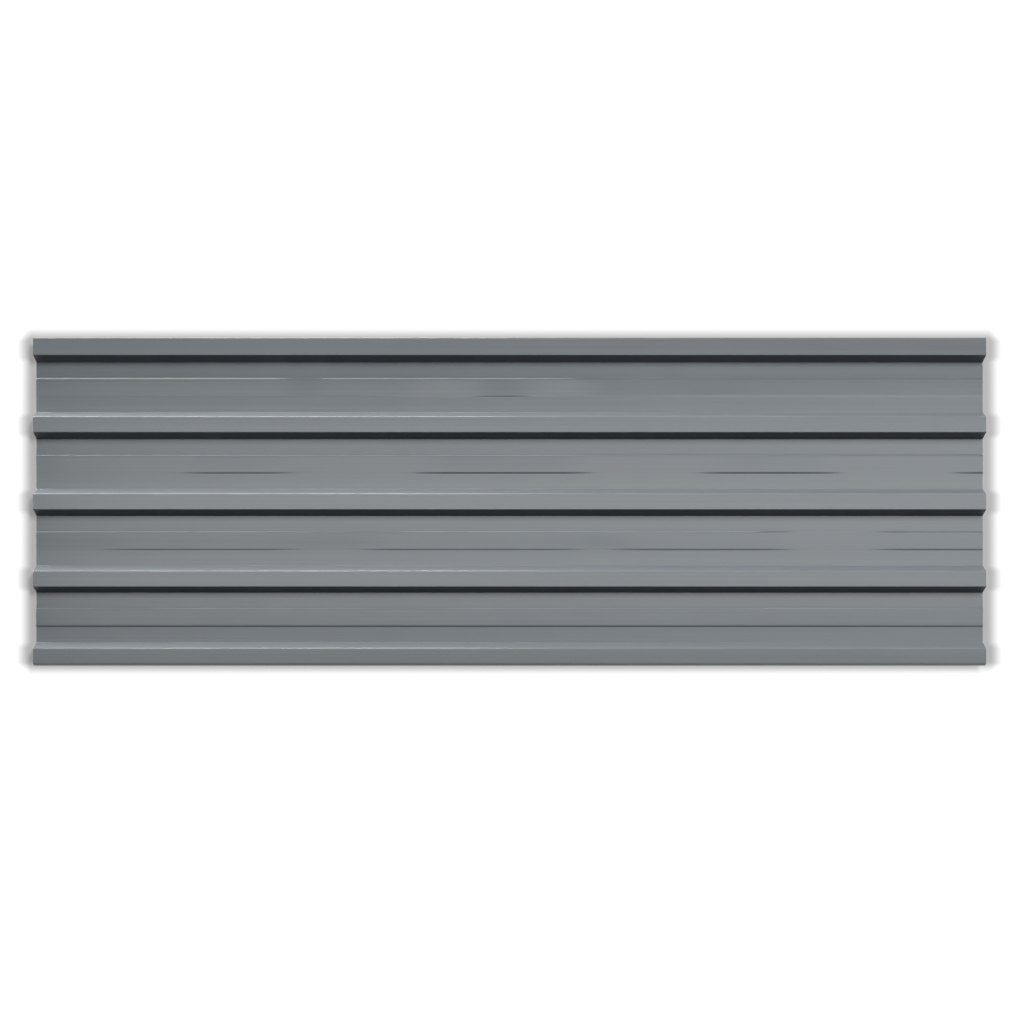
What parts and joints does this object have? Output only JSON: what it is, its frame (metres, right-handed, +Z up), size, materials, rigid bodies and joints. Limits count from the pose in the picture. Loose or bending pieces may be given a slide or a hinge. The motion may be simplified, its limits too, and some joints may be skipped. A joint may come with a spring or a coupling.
{
  "type": "corrugated metal sheet",
  "caption": "Roll-formed steel sheet with trapezoidal ribs, flat pans with a raised stiffening strip and turned-down lap edges, for cladding roofs, walls and fences.",
  "frame": {"origin": "middle of the sheet on the level its pans rest on", "axes": "+X along the ribs, +Y across them, +Z up out of the crowns"},
  "size_m": [1.29, 0.4442, 0.016],
  "materials": {
    "coated_steel": "satin grey coil coating on zinc-coated steel"
  },
  "bodies": {
    "root": {"profiled_sheet": "coated_steel"}
  },
  "joints": []
}
